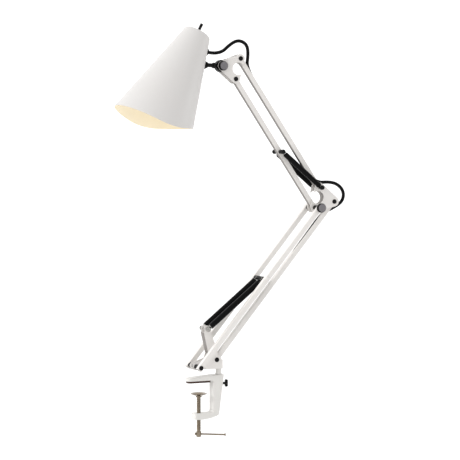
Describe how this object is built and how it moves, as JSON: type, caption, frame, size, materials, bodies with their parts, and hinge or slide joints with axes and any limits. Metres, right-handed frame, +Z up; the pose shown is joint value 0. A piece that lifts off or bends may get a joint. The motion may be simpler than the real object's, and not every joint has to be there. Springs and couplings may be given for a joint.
{
  "type": "clamp desk lamp",
  "caption": "White clamp-on task lamp: two spring-balanced parallelogram arms carry a conical shade that tilts on a knobbed joint and switches at its top.",
  "frame": {"origin": "centre of the jaw pad's underside, the face that rests on the desk, on the clamp screw's axis", "axes": "+Z up; the arms fold in the XZ plane, with the shade towards -X and the knobs towards -Y"},
  "size_m": [0.4757, 0.1574, 0.7843],
  "materials": {
    "white_paint": "white powder coat",
    "brown_pad": "dark brown cork rubber",
    "white_nylon": "moulded",
    "nickel": "nickel plate",
    "black_plastic": "moulded, fine grain",
    "black_steel": "black oxide",
    "spring_wire": "drawn wire",
    "sleeve": "soft PVC tube",
    "knob_disc": "grey insert",
    "lead": "round PVC lead",
    "bulb_cap": "plated screw cap",
    "bulb_glass": "frosted"
  },
  "bodies": {
    "clamp": {"clamp_frame": "white_paint", "clamp_pad": "brown_pad", "spindle_bush": "white_nylon"},
    "lock": {"lock_screw": "black_steel", "lock_wing": "black_plastic"},
    "plate": {"pressure_plate": "nickel"},
    "screw": {"clamp_screw": "nickel"},
    "tommy": {"tommy_bar": "nickel"},
    "base": {"spindle": "white_paint", "base_bracket": "white_paint", "lower_front_pin": "black_steel", "lower_front_spacers": "black_plastic", "lower_rear_pin": "black_steel", "lower_spring_anchor": "nickel"},
    "lower_rear": {"lower_rear_bar": "white_paint", "lead_lower": "lead", "lead_gland": "black_plastic", "lead_elbow_lower": "lead"},
    "lower_front": {"lower_front_bar_near": "white_paint", "lower_front_bar_far": "white_paint", "lower_spring_pin": "black_steel", "lower_spring_near": "spring_wire", "lower_spring_far": "spring_wire", "lower_sleeve_near": "sleeve", "lower_sleeve_far": "sleeve"},
    "elbow": {"elbow_bracket": "white_paint", "elbow_axle": "black_steel", "elbow_spacers": "black_plastic", "elbow_rear_pin": "black_steel", "upper_spring_anchor": "black_steel"},
    "elbow_knob": {"elbow_knob": "black_plastic", "elbow_knob_cap": "knob_disc"},
    "upper_rear": {"upper_rear_bar": "white_paint", "lead_upper": "lead", "lead_elbow_upper": "lead", "lead_head_arm": "lead"},
    "upper_front": {"upper_front_bar": "white_paint", "upper_spring_pin": "black_steel", "upper_spring_near": "spring_wire", "upper_spring_far": "spring_wire", "upper_sleeve_near": "sleeve", "upper_sleeve_far": "sleeve"},
    "head_frame": {"head_bracket": "white_paint", "head_front_pin": "black_steel", "head_rear_pin": "black_steel", "head_bolt": "black_steel"},
    "head_knob": {"head_knob": "black_plastic", "head_knob_cap": "knob_disc"},
    "head": {"head_hub": "black_plastic", "stem": "black_steel", "stem_flange": "black_steel", "stem_nut": "black_steel", "shade": "white_paint", "switch_body": "black_plastic", "lampholder": "black_plastic", "bulb_cap": "bulb_cap", "bulb_glass": "bulb_glass", "lead_grommet": "black_plastic", "lead_head_shade": "lead"},
    "switch": {"switch_lever": "black_plastic"}
  },
  "joints": [
    {"name": "base_swivel", "type": "hinge", "parent": "clamp", "child": "base", "pos_m": [0.041, 0, 0], "axis": [0, 0, 1], "range_deg": [-180, 180]},
    {"name": "lower_tilt", "type": "hinge", "parent": "base", "child": "lower_rear", "pos_m": [0.0342, 0, 0.0427], "axis": [0, -1, 0], "range_deg": [-12, 40]},
    {"name": "lower_front_tilt", "type": "hinge", "parent": "base", "child": "lower_front", "pos_m": [-0.0083, 0, 0.0315], "axis": [0, -1, 0], "range_deg": [-12, 40], "deforming": ["lower_spring_near", "lower_spring_far", "lower_sleeve_near", "lower_sleeve_far"]},
    {"name": "elbow_level", "type": "hinge", "parent": "lower_rear", "child": "elbow", "pos_m": [0.28514, 0, 0.34112], "axis": [0, -1, 0], "range_deg": [-40, 12], "deforming": ["lead_elbow_lower"]},
    {"name": "upper_tilt", "type": "hinge", "parent": "elbow", "child": "upper_rear", "pos_m": [0.25264, 0, 0.36892], "axis": [0, -1, 0], "range_deg": [-25, 35], "deforming": ["lead_elbow_upper"]},
    {"name": "upper_front_tilt", "type": "hinge", "parent": "elbow", "child": "upper_front", "pos_m": [0.24264, 0, 0.32992], "axis": [0, -1, 0], "range_deg": [-25, 35], "deforming": ["upper_spring_near", "upper_spring_far", "upper_sleeve_near", "upper_sleeve_far"]},
    {"name": "head_level", "type": "hinge", "parent": "upper_rear", "child": "head_frame", "pos_m": [0.08404, 0, 0.61561], "axis": [0, -1, 0], "range_deg": [-35, 25], "deforming": ["lead_head_arm"]},
    {"name": "head_tilt", "type": "hinge", "parent": "head_frame", "child": "head", "pos_m": [0.04604, 0, 0.60091], "axis": [0, -1, 0], "range_deg": [-45, 30], "deforming": ["lead_head_shade"]},
    {"name": "switch_rock", "type": "hinge", "parent": "head", "child": "switch", "pos_m": [-0.00364, 0, 0.65859], "axis": [0, -1, 0], "range_deg": [-10, 10]},
    {"name": "elbow_knob_turn", "type": "hinge", "parent": "elbow", "child": "elbow_knob", "pos_m": [0.24264, 0, 0.32992], "axis": [0, 1, 0], "range_deg": [-180, 180]},
    {"name": "head_knob_turn", "type": "hinge", "parent": "head_frame", "child": "head_knob", "pos_m": [0.04604, 0, 0.60091], "axis": [0, 1, 0], "range_deg": [-180, 180]},
    {"name": "lock_turn", "type": "hinge", "parent": "clamp", "child": "lock", "pos_m": [0.0515, 0, -0.004], "axis": [1, 0, 0], "range_deg": [0, 360]},
    {"name": "plate_feed", "type": "slide", "parent": "clamp", "child": "plate", "axis": [0, 0, 1], "range_m": [-0.0289, 0.0189]},
    {"name": "screw_turn", "type": "hinge", "parent": "plate", "child": "screw", "pos_m": [0, 0, 0], "axis": [0, 0, 1], "range_deg": [-8280, 5400]},
    {"name": "tommy_slide", "type": "slide", "parent": "screw", "child": "tommy", "axis": [0.8387, -0.5446, 0], "range_m": [-0.0442, 0]}
  ],
  "couplings": [
    {"joint": "lower_front_tilt", "follows": "lower_tilt", "ratio": 1},
    {"joint": "elbow_level", "follows": "lower_tilt", "ratio": -1},
    {"joint": "upper_front_tilt", "follows": "upper_tilt", "ratio": 1},
    {"joint": "head_level", "follows": "upper_tilt", "ratio": -1},
    {"joint": "plate_feed", "follows": "screw_turn", "m_per_rad": 0.00019894}
  ]
}
